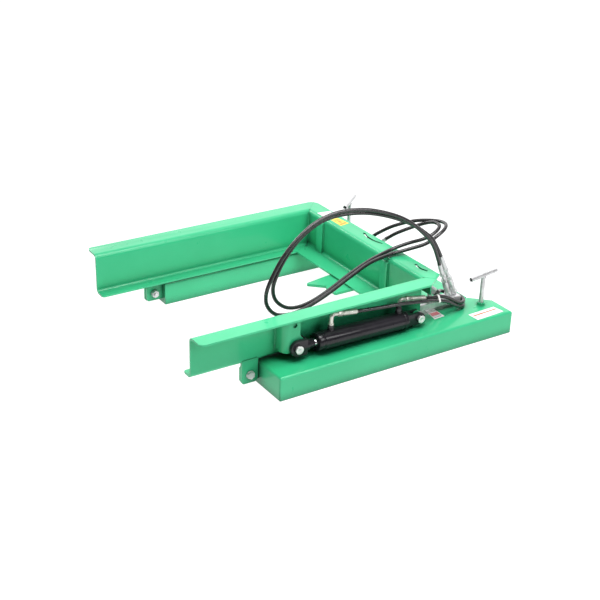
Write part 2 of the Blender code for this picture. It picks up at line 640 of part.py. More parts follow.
def clevis(x_eye, x_root, slot_root, direction, ear_r, round_root):
    """A two-eared clevis: the eye at x_eye, a round root from x_root on, the slot as far as slot_root."""
    half = LUG_GAP / 2 + EAR_T
    joined = x_root + direction * 0.006
    eye = [(x_eye - direction * px, pz) for px, pz in arc((0, 0), ear_r, -90, 90, 12)]
    outline = [(joined, -ear_r), *eye, (joined, ear_r)]
    body = prism(outline, 2 * half, side_plane(0))
    lo, hi = sorted((x_eye - direction * (ear_r + 0.01), slot_root))
    slot = block((lo, -LUG_GAP / 2, -0.06), (hi, LUG_GAP / 2, 0.06))
    body = boolean(body, [round_root], "UNION")
    pin = drill((x_eye, 0, 0), (0, 1, 0), PIN_R + GAP, 0.12)
    return boolean(body, [slot, pin])


def port_fitting(x, top, run, drop):
    """A boss, an adapter and an elbow with a hexagon and the hose's ferrule, joined to one body."""
    line = (1, 0, drop)
    boss = along(turned(rod_profile(0.0130, 0, 0.009), 18), (x, 0, BARREL_R + GAP), (0, 0, 1))
    rise = turned(rod_profile(0.0095, 0, top - BARREL_R - 0.0013), 18)
    adapter = along(rise, (x, 0, BARREL_R + 0.004), (0, 0, 1))
    hose_end = along(turned(rod_profile(0.0085, 0, run), 16), (x - 0.0052, 0, top), line)
    crimp = (x + run * 0.52, 0, top + drop * run * 0.56)
    ferrule = along(turned(rod_profile(0.0106, 0, run * 0.42), 20), crimp, line)
    nut = along(hex_profile(0.0210, run * 0.16), (x + run * 0.32, 0, top + drop * run * 0.36), line)
    body = boolean(boss, [adapter], "UNION")
    return boolean(body, [boolean(hose_end, [nut, ferrule], "UNION")], "UNION")


def cylinder(side, sign):
    bx, bz = BASE_PIN
    rx, rz = ROD_PIN
    reach = math.hypot(bx - rx, rz - bz)
    slope = math.atan2(rz - bz, bx - rx)
    swing = axis_empty(f"{side}_cylinder_axis", (bx, sign * CYL_Y, bz), slope)
    front, rear = BARREL_X
    x_line = (1, 0, 0)

    tube_data = along(turned(ring_profile(BORE_R, BARREL_R, 0, rear - front), 32), (front, 0, 0), x_line)
    in_cylinder(swing, f"{side}_barrel", smooth(tube_data), BLACK)

    cap = along(turned(rod_profile(BARREL_R, 0, 0.018, 0.002), 32), (rear + GAP, 0, 0), x_line)
    cap = clevis(0, rear + 0.018, -0.036, -1, BASE_EAR_R, cap)
    in_cylinder(swing, f"{side}_base_clevis", smooth(cap), BLACK)

    gland_profile = [(ROD_R + GAP, 0.046), (BORE_R - GAP, 0.046), (BORE_R - GAP, 0.0287), (0.0370, 0.0287),
                     (0.0370, 0.002), (0.0350, 0), (ROD_R + GAP, 0), (ROD_R + GAP, 0.046)]
    gland = along(turned(gland_profile, 32), (front - 0.029, 0, 0), x_line)
    in_cylinder(swing, f"{side}_gland", smooth(gland), BLACK)

    piston_x = -0.122
    piston = along(turned(rod_profile(BORE_R - GAP, 0, 0.034, 0.001), 32), (piston_x, 0, 0), x_line)
    in_cylinder(swing, f"{side}_piston", smooth(piston), STEEL)
    neck = [(0, 0.0447), (0.0175, 0.0447), (0.0185, 0.0437), (0.0185, 0.0187), (0.0235, 0.0187),
            (0.0235, 0.002), (0.0215, 0), (0, 0)]
    root_end = -reach + 0.036 + neck[0][1] + GAP
    rod = along(turned(rod_profile(ROD_R, 0, piston_x - GAP - root_end), 24), (root_end, 0, 0), x_line)
    in_cylinder(swing, f"{side}_rod", smooth(rod), CHROME)

    neck = along(turned(neck, 24), (-reach + 0.036, 0, 0), x_line)
    rod_end = clevis(-reach, -reach + 0.037, -reach + 0.037, 1, ROD_EAR_R, neck)
    in_cylinder(swing, f"{side}_rod_clevis", smooth(rod_end), BLACK)

    front_port = port_fitting(front + 0.040, 0.1035, 0.125, -0.105)
    rear_port = port_fitting(rear - 0.017, 0.0976, 0.1359, -0.159)
    in_cylinder(swing, f"{side}_front_port", front_port, ZINC)
    in_cylinder(swing, f"{side}_rear_port", rear_port, ZINC)

    half = LUG_GAP / 2 + EAR_T
    cross_pin(f"{side}_base_pin", (bx, sign * CYL_Y, bz), None, 2 * half + 0.012)
    cross_pin(f"{side}_rod_pin", (rx, sign * CYL_Y, rz), swing, 2 * half + 0.012)
    return swing


# ---- hoses, manifolds and couplers --------------------------------------------------------------
def mirrored(points, sign):
    return [(x, sign * y, z) for x, y, z in points]


def hose(name, points, parent=None, spacing=0.035):
    return tube(name, smooth_route(points, spacing), HOSE_R, RUBBER, parent)


def stub(start, end, radius, steps=16):
    """A round bar between two points."""
    start, end = Vector(start), Vector(end)
    return along(turned(rod_profile(radius, 0, (end - start).length), steps), start, end - start)


def elbow(foot, joint, hose_end):
    """A fitting that stands on its foot, turns at the joint and ends in a hose's ferrule, as mesh data."""
    joint, hose_end = Vector(joint), Vector(hose_end)
    line = (hose_end - joint).normalized()
    down = (Vector(foot) - joint).normalized()
    upright = stub(joint - down * 0.006, foot, 0.0085)
    ferrule = stub(joint - line * 0.005, hose_end - line * END_GAP, FERRULE_R)
    nut = along(hex_profile(0.0215, 0.011), joint + down * 0.012, down)
    return boolean(boolean(upright, [nut], "UNION"), [ferrule], "UNION")


def left_manifold(axis):
    """A drilled bar on the beam's rear face. The left cylinder's hoses and the couplers stand on it."""
    bar = block((WEB_X + PLATE / 2 + GAP, -0.425, BAR_TOP - 0.0255), (0.562, -0.375, BAR_TOP), 0.0012, 1)
    fittings = [
        elbow((0.425, -0.384, BAR_TOP - 0.004), (0.425, -0.384, 0.1925), mirrored(LEFT_FRONT_TAIL, -1)[-1]),
        elbow((0.398, -0.414, BAR_TOP - 0.004), (0.398, -0.414, 0.2215), mirrored(LEFT_REAR_TAIL, -1)[-1]),
    ]
    for data in fittings:
        bar = boolean(bar, [data], "UNION")
    return link("left_manifold", bar, ZINC, axis)


def right_manifold(axis):
    """A drilled block on the beam's rear face. The free hoses and the right cylinder's hoses end in it."""
    face = 0.3965
    body = block((WEB_X + PLATE / 2 + GAP, -0.012, 0.200), (face, 0.110, 0.264), 0.0012, 1)
    fittings = [elbow((face - 0.004, 0.005, 0.2495), (0.4275, 0.005, 0.2495), HOSE_B[-1]),
                elbow((face - 0.004, 0.091, 0.228), (0.414, 0.091, 0.228), HOSE_A[-1])]
    for tail in (RIGHT_FRONT_TAIL, RIGHT_REAR_TAIL):
        x, y, z = tail[-1]
        fittings.append(boolean(stub((x, 0.106, z), (x, y - END_GAP, z), FERRULE_R),
                                [along(hex_profile(0.0205, 0.011), (x, 0.112, z), (0, 1, 0))], "UNION"))
    for data in fittings:
        body = boolean(body, [data], "UNION")
    return link("right_manifold", body, ZINC, axis)


def coupler(letter, axis):
    """A quick coupler with the hose's ferrule, in one, and its sliding sleeve."""
    sizes = COUPLERS[letter]
    foot, tip = Vector(sizes["foot"]), Vector(sizes["tip"])
    length = (tip - foot).length
    profile = [(0, length)]
    for start, end, radius in reversed(sizes["round"]):
        profile += [(radius, length if end is None else end), (radius, start)]
    profile.append((0, 0))
    body = along(turned(profile, 20), foot, tip - foot)
    for start, end, across in sizes["hex"]:
        nut = along(hex_profile(across, end - start), foot + (tip - foot).normalized() * start, tip - foot)
        body = boolean(body, [nut], "UNION")
    upright = stub((foot.x, foot.y, BAR_TOP + GAP), (foot.x, foot.y, foot.z + 0.006), 0.0085)
    link(f"quick_coupler_{letter}", smooth(boolean(body, [upright], "UNION")), ZINC, axis)

    start, end, radius = sizes["sleeve"]
    bore = sizes["round"][1][2] + GAP
    slide = axis_empty(f"sleeve_axis_{letter}", foot)
    ring = along(turned(ring_profile(bore, radius, start, end), 24), foot, tip - foot)
    link(f"coupler_sleeve_{letter}", smooth(ring), ZINC, slide)


def cylinder_hoses(side, sign, swing, axis):
    tails = {"left": (LEFT_FRONT_TAIL, LEFT_REAR_TAIL), "right": (RIGHT_FRONT_TAIL, RIGHT_REAR_TAIL)}[side]
    hose(f"{side}_front_hose", mirrored(FRONT_HOSE, sign), swing)
    hose(f"{side}_rear_hose", mirrored(REAR_HOSE, sign), swing)
    hose(f"{side}_front_tail", mirrored(tails[0], sign), axis)
    hose(f"{side}_rear_tail", mirrored(tails[1], sign), axis)


def build():
    pivot = axis_empty("pivot_axis", (PIVOT[0], 0, PIVOT[1]))
    crossmember()
    rest_plate()
    rear_beam(pivot)
    for side, sign in SIDES.items():
        base_box(side, sign)
        pivot_ear(side, sign)
        pivot_bolt(side, sign)
        cylinder_lug(side, sign)
        lock_collar(side)
        lock_pin(side)
        arm(side, sign, pivot)
        pivot_lug(side, sign, pivot)
        lever_bracket(side, sign, pivot)
        swing = cylinder(side, sign)
        cylinder_hoses(side, sign, swing, pivot)
    hanger_plate(pivot)
    left_manifold(pivot)
    right_manifold(pivot)
    for letter in COUPLERS:
        coupler(letter, pivot)
    hose("hose_a", HOSE_A, pivot, 0.040)
    hose("hose_b", HOSE_B, pivot, 0.040)


build()
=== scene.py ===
"""Looks of the conduit bender's hydraulic tilt base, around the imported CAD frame. Metres, +Z up."""
import json
import math

import bmesh
import bpy
from mathutils import Matrix, Vector


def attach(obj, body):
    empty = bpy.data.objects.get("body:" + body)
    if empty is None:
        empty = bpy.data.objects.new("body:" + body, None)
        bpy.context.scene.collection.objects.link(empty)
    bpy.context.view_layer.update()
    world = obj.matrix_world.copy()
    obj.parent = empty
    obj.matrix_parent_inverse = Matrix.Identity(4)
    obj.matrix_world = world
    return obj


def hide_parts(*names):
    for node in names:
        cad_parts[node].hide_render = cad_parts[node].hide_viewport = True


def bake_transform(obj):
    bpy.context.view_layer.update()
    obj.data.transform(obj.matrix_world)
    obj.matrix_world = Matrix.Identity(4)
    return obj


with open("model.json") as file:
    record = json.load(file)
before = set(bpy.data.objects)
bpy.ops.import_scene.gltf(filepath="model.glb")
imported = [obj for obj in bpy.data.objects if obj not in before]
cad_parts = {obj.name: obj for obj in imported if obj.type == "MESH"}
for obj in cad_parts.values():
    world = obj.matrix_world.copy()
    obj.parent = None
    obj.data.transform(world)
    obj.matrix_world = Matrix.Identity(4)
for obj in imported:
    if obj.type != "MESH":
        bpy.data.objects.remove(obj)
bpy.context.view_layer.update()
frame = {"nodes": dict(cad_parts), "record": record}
SIDES = {"left": -1, "right": 1}


# ---- camera -------------------------------------------------------------------------------------
CAMERA_AT = (-2.4867, -3.8229, 2.3061)
CAMERA_TURN = (56.6418, 26.0032, 1.7754)  # azimuth, downward tilt and roll, in degrees
LENS = 71.18


def add_camera():
    azimuth, tilt, roll = map(math.radians, CAMERA_TURN)
    level = Vector((math.cos(azimuth), math.sin(azimuth), 0))
    forward = level * math.cos(tilt) - Vector((0, 0, math.sin(tilt)))
    right = Vector((math.sin(azimuth), -math.cos(azimuth), 0))
    up = right.cross(forward)
    rolled_right = right * math.cos(roll) + up * math.sin(roll)
    rolled_up = up * math.cos(roll) - right * math.sin(roll)
    data = bpy.data.cameras.new("camera")
    data.lens = LENS
    data.sensor_width = 36
    camera = bpy.data.objects.new("camera", data)
    bpy.context.scene.collection.objects.link(camera)
    turn = Matrix((rolled_right, rolled_up, -forward)).transposed().to_4x4()
    camera.matrix_world = Matrix.Translation(CAMERA_AT) @ turn
    bpy.context.scene.camera = camera


add_camera()


# ---- materials ----------------------------------------------------------------------------------
class Shader:
    """A material's node tree, with short calls for the nodes used here."""

    def __init__(self, name, colour, roughness, metallic=0.0):
        self.material = bpy.data.materials.new(name)
        self.material.use_nodes = True
        self.tree = self.material.node_tree
        self.out = self.tree.nodes["Principled BSDF"]
        self.out.inputs["Base Color"].default_value = (*colour, 1)
        self.out.inputs["Roughness"].default_value = roughness
        self.out.inputs["Metallic"].default_value = metallic
        self.place = self.add("ShaderNodeTexCoord").outputs["Object"]

    def add(self, kind, **settings):
        node = self.tree.nodes.new(kind)
        for key, value in settings.items():
            setattr(node, key, value)
        return node

    def link(self, source, target):
        self.tree.links.new(source, target)

    def set(self, **values):
        for key, value in values.items():
            self.out.inputs[key.replace("_", " ")].default_value = value
        return self

    def stretched(self, scale):
        node = self.add("ShaderNodeMapping")
        node.inputs["Scale"].default_value = scale
        self.link(self.place, node.inputs["Vector"])
        return node.outputs["Vector"]

    def noise(self, scale, detail=2.0, roughness=0.5, vector=None):
        node = self.add("ShaderNodeTexNoise")
        node.inputs["Scale"].default_value = scale
        node.inputs["Detail"].default_value = detail
        node.inputs["Roughness"].default_value = roughness
        self.link(vector or self.place, node.inputs["Vector"])
        return node.outputs["Fac"]

    def ramp(self, source, *stops):
        node = self.add("ShaderNodeValToRGB")
        elements = node.color_ramp.elements
        while len(elements) < len(stops):
            elements.new(0.5)
        for element, (position, colour) in zip(elements, stops):
            element.position = position
            element.color = (*colour, 1) if isinstance(colour, tuple) else (colour, colour, colour, 1)
        self.link(source, node.inputs["Fac"])
        return node.outputs["Color"]

    def mix(self, factor, a, b, blend="MIX"):
        node = self.add("ShaderNodeMix", data_type="RGBA", blend_type=blend)
        for socket, value in ((node.inputs["Factor"], factor), (node.inputs[6], a), (node.inputs[7], b)):
            if isinstance(value, bpy.types.NodeSocket):
                self.link(value, socket)
            elif isinstance(value, tuple):
                socket.default_value = (*value, 1)
            else:
                socket.default_value = value
        return node.outputs[2]

    def bump(self, height, strength, distance):
        node = self.add("ShaderNodeBump")
        node.inputs["Strength"].default_value = strength
        node.inputs["Distance"].default_value = distance
        self.link(height, node.inputs["Height"])
        previous = self.out.inputs["Normal"].links
        if previous:
            self.link(previous[0].from_socket, node.inputs["Normal"])
        self.link(node.outputs["Normal"], self.out.inputs["Normal"])

    def colour(self, source):
        self.link(source, self.out.inputs["Base Color"])

    def roughness(self, source):
        self.link(source, self.out.inputs["Roughness"])


def green_paint():
    s = Shader("green_paint", (0.05, 0.5, 0.25), 0.3)
    s.set(Coat_Weight=0.25, Coat_Roughness=0.08, Specular_IOR_Level=0.25)
    broad = s.ramp(s.noise(3.0, 3.0), (0.35, (0.026, 0.440, 0.196)), (0.65, (0.036, 0.485, 0.222)))
    scuffs = s.ramp(s.noise(7.0, 9.0, 0.72, s.stretched((1.0, 2.5, 4.0))), (0.67, 0.0), (0.80, 0.9))
    scuffs_and_edge_highlight = s.mix(scuffs, broad, (0.015, 0.340, 0.145))
    # Convex edges, where Pointiness is high, get a lighter green: a painted highlight along the edges, on
    # top of the real dark scuffs.
    edges = s.add("ShaderNodeNewGeometry").outputs["Pointiness"]
    edge_highlight = s.ramp(edges, (0.52, 0.0), (0.60, 0.40))
    scuffs_and_edge_highlight = s.mix(edge_highlight, scuffs_and_edge_highlight, (0.12, 0.70, 0.38))
    # Ambient occlusion darkens the colour in corners, gaps and under parts: painted shade where shadow
    # falls.
    corners = s.add("ShaderNodeAmbientOcclusion", samples=6)
    corners.inputs["Distance"].default_value = 0.05
    painted_crevice_shade = s.ramp(corners.outputs["AO"], (0.25, 0.20), (0.90, 1.0))
    s.colour(s.mix(1.0, scuffs_and_edge_highlight, painted_crevice_shade, "MULTIPLY"))
    s.roughness(s.ramp(s.noise(14.0, 5.0), (0.3, 0.27), (0.7, 0.38)))
    s.bump(s.noise(420.0, 2.0), 0.06, 0.0003)
    s.bump(s.noise(18.0, 3.0), 0.10, 0.0010)
    return s.material


def black_enamel():
    s = Shader("black_enamel", (0.012, 0.012, 0.014), 0.3)
    s.set(Coat_Weight=0.35, Coat_Roughness=0.07, Specular_IOR_Level=0.18)
    s.colour(s.ramp(s.noise(11.0, 4.0), (0.3, (0.009, 0.008, 0.011)), (0.7, (0.018, 0.016, 0.021))))
    s.roughness(s.ramp(s.noise(18.0, 4.0), (0.3, 0.27), (0.7, 0.36)))
    s.bump(s.noise(300.0, 2.0), 0.04, 0.0003)
    return s.material


def zinc_plate(name="zinc_plate", tint=(0.70, 0.70, 0.71)):
    s = Shader(name, tint, 0.3, 0.65)
    dark = tuple(0.80 * c for c in tint)
    s.colour(s.ramp(s.noise(40.0, 3.0), (0.35, dark), (0.65, tint)))
    s.roughness(s.ramp(s.noise(60.0, 3.0), (0.3, 0.30), (0.7, 0.42)))
    s.bump(s.noise(500.0, 2.0), 0.03, 0.0001)
    return s.material


def chrome_rod():
    s = Shader("chrome_rod", (0.62, 0.62, 0.63), 0.06, 1.0)
    s.roughness(s.ramp(s.noise(90.0, 3.0), (0.3, 0.08), (0.7, 0.14)))
    return s.material


def hose_rubber():
    s = Shader("hose_rubber", (0.012, 0.012, 0.013), 0.35)
    s.set(Specular_IOR_Level=0.65)
    s.colour(s.ramp(s.noise(30.0, 4.0), (0.3, (0.010, 0.009, 0.010)), (0.7, (0.022, 0.020, 0.022))))
    s.roughness(s.ramp(s.noise(45.0, 4.0), (0.3, 0.24), (0.7, 0.34)))
    s.bump(s.noise(500.0, 2.0), 0.05, 0.0002)
    return s.material


def plain(name, colour, roughness):
    """A printed or moulded surface with a faint grain."""
    s = Shader(name, colour, roughness)
    pale = tuple(min(1.0, 1.06 * c) for c in colour)
    s.colour(s.ramp(s.noise(25.0, 3.0), (0.3, colour), (0.7, pale)))
    s.bump(s.noise(300.0, 2.0), 0.06, 0.0002)
    return s.material


GREEN = green_paint()
BLACK = black_enamel()
ZINC = zinc_plate()
CHROME = chrome_rod()
RUBBER = hose_rubber()
SLOT_MATERIALS = {"green_paint": GREEN, "black_enamel": BLACK, "zinc_plate": ZINC, "chrome_rod": CHROME,
                  "bare_steel": ZINC, "hose_rubber": RUBBER}


# ---- mesh tools ---------------------------------------------------------------------------------
MERGE_DISTANCE = 2e-6
FLAT_ANGLE = 1.0  # faces that meet at less than this are one face, in degrees
ROUNDED_ANGLE = 28.0  # edges sharper than this are rounded, in degrees


def add_piece(name, data, material, body):
    """A new piece that rides on a CAD body."""
    piece = bpy.data.objects.new(name, data)
    bpy.context.scene.collection.objects.link(piece)
    if material is not None:
        data.materials.clear()
        data.materials.append(material)
    if body is not None:
        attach(piece, body)
    return piece


def to_mesh(bm, smooth_angle=35.0):
    bmesh.ops.recalc_face_normals(bm, faces=bm.faces)
    data = bpy.data.meshes.new("mesh")
    bm.to_mesh(data)
    bm.free()
    data.shade_smooth()
    data.set_sharp_from_angle(angle=math.radians(smooth_angle))
    return data


def body_of_node(node):
    return next(b for b, members in frame["record"]["behaviour"]["bodies"].items() if node in members)


def slot_of_node(node):
    return next(s["material_slot"] for s in frame["record"]["subparts"] if s["node"] == node)


def refined(node, width):
    """The CAD node's own shape with its flat faces merged and its edges rounded."""
    bm = bmesh.new()
    bm.from_mesh(frame["nodes"][node].data)
    bmesh.ops.remove_doubles(bm, verts=bm.verts, dist=MERGE_DISTANCE)
    bmesh.ops.dissolve_limit(bm, angle_limit=math.radians(FLAT_ANGLE), verts=bm.verts, edges=bm.edges)
    data = to_mesh(bm)
    slot = slot_of_node(node)
    piece = add_piece(f"{node}_shape", data, SLOT_MATERIALS[slot], body_of_node(node))
    bevel = piece.modifiers.new("Bevel", "BEVEL")
    bevel.width = width
    bevel.segments = 2
    bevel.limit_method = "ANGLE"
    bevel.angle_limit = math.radians(ROUNDED_ANGLE)
    bevel.harden_normals = False
    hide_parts(node)


def smooth_route(points, spacing):
    """Points along the smooth Catmull-Rom curve through the route's own points."""
    p = [Vector(q) for q in points]
    p = [2 * p[0] - p[1], *p, 2 * p[-1] - p[-2]]
    out = []
    for a, b, c, d in zip(p, p[1:], p[2:], p[3:]):
        steps = max(1, round((c - b).length / spacing))
        for i in range(steps):
            t = i / steps
            out.append(0.5 * (2 * b + (c - a) * t + (2 * a - 5 * b + 4 * c - d) * t * t
                              + (3 * b - a - 3 * c + d) * t ** 3))
    out.append(p[-2])
    return out


def tube_mesh(points, radius, sides, radii=None):
    """A closed tube round a line of points, with frames carried along it so that it doesn't twist."""
    bm = bmesh.new()
    tangents = []
    for i in range(len(points)):
        a, b = points[max(i - 1, 0)], points[min(i + 1, len(points) - 1)]
        tangents.append((b - a).normalized())
    side = tangents[0].orthogonal().normalized()
    rings = []
    for i, (place, along) in enumerate(zip(points, tangents)):
        side = (side - along * side.dot(along)).normalized()
        other = along.cross(side)
        r = radii[i] if radii else radius
        ring = []
        for k in range(sides):
            turn = 2 * math.pi * k / sides
            ring.append(bm.verts.new(place + r * (math.cos(turn) * side + math.sin(turn) * other)))
        rings.append(ring)
    for low, high in zip(rings, rings[1:]):
        for k in range(sides):
            bm.faces.new((low[k], low[(k + 1) % sides], high[(k + 1) % sides], high[k]))
    bm.faces.new(rings[0])
    bm.faces.new(rings[-1])
    return to_mesh(bm, 50.0)


# ---- stage --------------------------------------------------------------------------------------
FLOOR_GLOW = 0.97
SKY_TOWARDS = (0.53, 0.80, 0.28)  # the sky is bright in this direction and dark behind the camera
SKY_RAMP = ((0.30, 0.03), (0.92, 1.0))
SKY_STRENGTH = 1.7
LAMPS_AIM = Vector((0, 0, 0.1))
LAMPS = (("key_light", (-0.15, -1.0, 3.1), (2.2, 1.6), 104.0),
         ("edge_light", (1.3, -0.6, 3.0), (2.8, 0.3), 12.0),
         ("bend_light", (-0.4, 2.7, 2.2), (0.35, 2.4), 34.0),
         ("side_light", (1.2, -3.2, 2.2), (1.6, 1.2), 40.0))


def add_floor():
    bm = bmesh.new()
    bmesh.ops.create_grid(bm, x_segments=1, y_segments=1, size=30)
    floor = bpy.data.objects.new("floor", to_mesh(bm))
    bpy.context.scene.collection.objects.link(floor)
    s = Shader("floor", (0.25, 0.25, 0.25), 0.8)
    s.set(Emission_Color=(1, 1, 1, 1), Emission_Strength=FLOOR_GLOW, Specular_IOR_Level=0.0)
    floor.data.materials.append(s.material)


def add_sky():
    world = bpy.data.worlds.new("world")
    world.use_nodes = True
    nodes, links = world.node_tree.nodes, world.node_tree.links
    place = nodes.new("ShaderNodeTexCoord")
    facing = nodes.new("ShaderNodeVectorMath")
    facing.operation = "DOT_PRODUCT"
    facing.inputs[1].default_value = SKY_TOWARDS
    ramp = nodes.new("ShaderNodeValToRGB")
    for element, (position, value) in zip(ramp.color_ramp.elements, SKY_RAMP):
        element.position = position
        element.color = (value, value, value, 1)
    background = nodes["Background"]
    links.new(place.outputs["Generated"], facing.inputs[0])
    links.new(facing.outputs["Value"], ramp.inputs["Fac"])
    links.new(ramp.outputs["Color"], background.inputs["Color"])
    background.inputs["Strength"].default_value = SKY_STRENGTH
    bpy.context.scene.world = world


def add_lamps():
    for name, at, size, power in LAMPS:
        data = bpy.data.lights.new(name, "AREA")
        data.shape = "RECTANGLE"
        data.size, data.size_y = size
        data.energy = power
        lamp = bpy.data.objects.new(name, data)
        lamp.location = at
        lamp.rotation_euler = (LAMPS_AIM - Vector(at)).to_track_quat("-Z", "Y").to_euler()
        bpy.context.scene.collection.objects.link(lamp)


add_floor()
add_sky()
add_lamps()
bpy.context.scene.view_settings.view_transform = "Standard"


# ---- hoses --------------------------------------------------------------------------------------
HOSE_R = 0.0078
HOSE_SIDES = 24
HOSE_SPACING = 0.008

# Hoses that the object holds all the way, as (x, distance from the centre plane, z). The first two follow
# a cylinder to its tie, and the tails go on from the tie to a manifold.
FRONT_HOSE = [(-0.0157, 0.476, 0.2384), (0.012, 0.477, 0.2362), (0.070, 0.484, 0.234),
              (0.130, 0.493, 0.233), (0.190, 0.4985, 0.231), (0.250, 0.500, 0.2235),
              (0.310, 0.4965, 0.212), (0.350, 0.4885, 0.2015)]
REAR_HOSE = [(0.3265, 0.476, 0.2135), (0.342, 0.4755, 0.2105), (0.362, 0.474, 0.207)]
LEFT_FRONT_TAIL = [(0.400, 0.4785, 0.1855), (0.445, 0.473, 0.168), (0.490, 0.466, 0.141),
                   (0.525, 0.458, 0.120), (0.555, 0.4475, 0.1115), (0.577, 0.425, 0.1105),
                   (0.585, 0.395, 0.1105), (0.577, 0.365, 0.1105), (0.553, 0.343, 0.112),
                   (0.520, 0.335, 0.121), (0.487, 0.350, 0.140), (0.4575, 0.3672, 0.1637)]
LEFT_REAR_TAIL = [(0.400, 0.470, 0.201), (0.445, 0.465, 0.186), (0.490, 0.460, 0.160),
                  (0.525, 0.4565, 0.138), (0.555, 0.447, 0.1295), (0.577, 0.425, 0.1280),
                  (0.585, 0.395, 0.1280),
                  (0.577, 0.365, 0.1285), (0.553, 0.343, 0.1325), (0.520, 0.340, 0.1450),
                  (0.496, 0.357, 0.156), (0.476, 0.380, 0.167), (0.455, 0.400, 0.180),
                  (0.4325, 0.4065, 0.1962)]
RIGHT_FRONT_TAIL = [(0.400, 0.4785, 0.1855), (0.450, 0.476, 0.168), (0.500, 0.452, 0.150),
                    (0.524, 0.400, 0.142), (0.514, 0.343, 0.144), (0.482, 0.287, 0.152),
                    (0.448, 0.248, 0.168), (0.418, 0.218, 0.187), (0.396, 0.196, 0.204),
                    (0.3850, 0.175, 0.2128), (0.384, 0.1570, 0.214)]
RIGHT_REAR_TAIL = [(0.400, 0.470, 0.201), (0.450, 0.464, 0.185), (0.495, 0.440, 0.168),
                   (0.515, 0.395, 0.160), (0.505, 0.345, 0.163), (0.475, 0.297, 0.172),
                   (0.442, 0.256, 0.189), (0.414, 0.223, 0.209), (0.394, 0.196, 0.227),
                   (0.385, 0.174, 0.235), (0.384, 0.1570, 0.236)]

# Free hoses, as (x, y, z). The routes are the CAD tubes' own.
HOSE_A = [(0.4500, -0.400, 0.3065), (0.438, -0.400, 0.338), (0.412, -0.400, 0.395), (0.374, -0.397, 0.446),
          (0.291, -0.384, 0.521), (0.202, -0.366, 0.567), (0.094, -0.345, 0.598), (-0.014, -0.329, 0.603),
          (-0.106, -0.322, 0.582), (-0.192, -0.324, 0.535), (-0.271, -0.331, 0.467), (-0.329, -0.338, 0.385),
          (-0.349, -0.338, 0.325), (-0.339, -0.337, 0.274), (-0.296, -0.336, 0.231), (-0.216, -0.326, 0.213),
          (-0.127, -0.312, 0.220), (-0.016, -0.288, 0.242), (0.103, -0.255, 0.269), (0.228, -0.218, 0.290),
          (0.352, -0.194, 0.2935), (0.431, -0.210, 0.306), (0.499, -0.243, 0.330), (0.548, -0.258, 0.363),
          (0.596, -0.246, 0.382), (0.626, -0.208, 0.386), (0.622, -0.145, 0.377), (0.567, -0.076, 0.362),
          (0.496, -0.020, 0.332), (0.451, 0.022, 0.295), (0.436, 0.050, 0.268)]
HOSE_B = [(0.4588, -0.393, 0.3405), (0.446, -0.392, 0.366), (0.416, -0.384, 0.420), (0.377, -0.376, 0.457),
          (0.318, -0.366, 0.499), (0.215, -0.350, 0.547), (0.104, -0.333, 0.578), (-0.005, -0.317, 0.584),
          (-0.095, -0.308, 0.566), (-0.182, -0.308, 0.517), (-0.249, -0.312, 0.450), (-0.292, -0.316, 0.380),
          (-0.303, -0.314, 0.328), (-0.287, -0.312, 0.279), (-0.243, -0.310, 0.240), (-0.183, -0.303, 0.222),
          (-0.103, -0.289, 0.223), (-0.001, -0.266, 0.243), (0.119, -0.231, 0.270), (0.246, -0.194, 0.289),
          (0.375, -0.158, 0.2945), (0.452, -0.180, 0.318), (0.512, -0.222, 0.345), (0.563, -0.226, 0.366),
          (0.598, -0.205, 0.379), (0.603, -0.160, 0.378), (0.585, -0.112, 0.358), (0.530, -0.073, 0.330),
          (0.489, -0.048, 0.308), (0.468, -0.034, 0.292), (0.456, -0.0225, 0.2795)]


def mirrored(points, sign):
    return [(x, sign * y, z) for x, y, z in points]


def hose_mesh(line):
    return tube_mesh(line, HOSE_R, HOSE_SIDES)


def add_free_hose(node, route):
    line = smooth_route(route, HOSE_SPACING)
    piece = add_piece(f"{node}_cover", hose_mesh(line), RUBBER, "tilt_frame")
    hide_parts(node)


def add_held_hose(side, sign, end, near, tail):
    """A cylinder's hose, cut into two pieces at the tie on the base: one from the cylinder to the tie, and a
    tail from there to the frame.
    """
    whole = mirrored([*near, *tail], sign)
    line = smooth_route(whole, HOSE_SPACING)
    tie = min(range(len(line)), key=lambda i: (line[i] - Vector(whole[len(near)])).length)
    rearmost = max(range(len(line)), key=lambda i: line[i].x)
    last = rearmost if side == "left" else len(line) - 1
    first = add_piece(f"{side}_{end}_hose_cover", hose_mesh(line[:tie + 1]), RUBBER, None)
    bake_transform(first)
    second = add_piece(f"{side}_{end}_tail_cover", hose_mesh(line[tie:last + 1]), RUBBER, None)
    if side == "left":
        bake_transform(second)
        add_piece(f"{side}_{end}_tail_loop", hose_mesh(line[last:]), RUBBER, "tilt_frame")
    else:
        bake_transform(second)
    for piece, node in ((first, f"{side}_{end}_hose"), (second, f"{side}_{end}_tail")):
        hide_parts(node)


add_free_hose("hose_a", HOSE_A)
add_free_hose("hose_b", HOSE_B)
add_held_hose("left", -1, "front", FRONT_HOSE, LEFT_FRONT_TAIL)
add_held_hose("left", -1, "rear", REAR_HOSE, LEFT_REAR_TAIL)
add_held_hose("right", 1, "front", FRONT_HOSE, RIGHT_FRONT_TAIL)
add_held_hose("right", 1, "rear", REAR_HOSE, RIGHT_REAR_TAIL)


# ---- round and hexagonal metal -------------------------------------------------------------------
def place_along(bm, start, direction):
    turn = Vector((0, 0, 1)).rotation_difference(Vector(direction).normalized()).to_matrix().to_4x4()
    bmesh.ops.transform(bm, matrix=Matrix.Translation(Vector(start)) @ turn, verts=bm.verts)


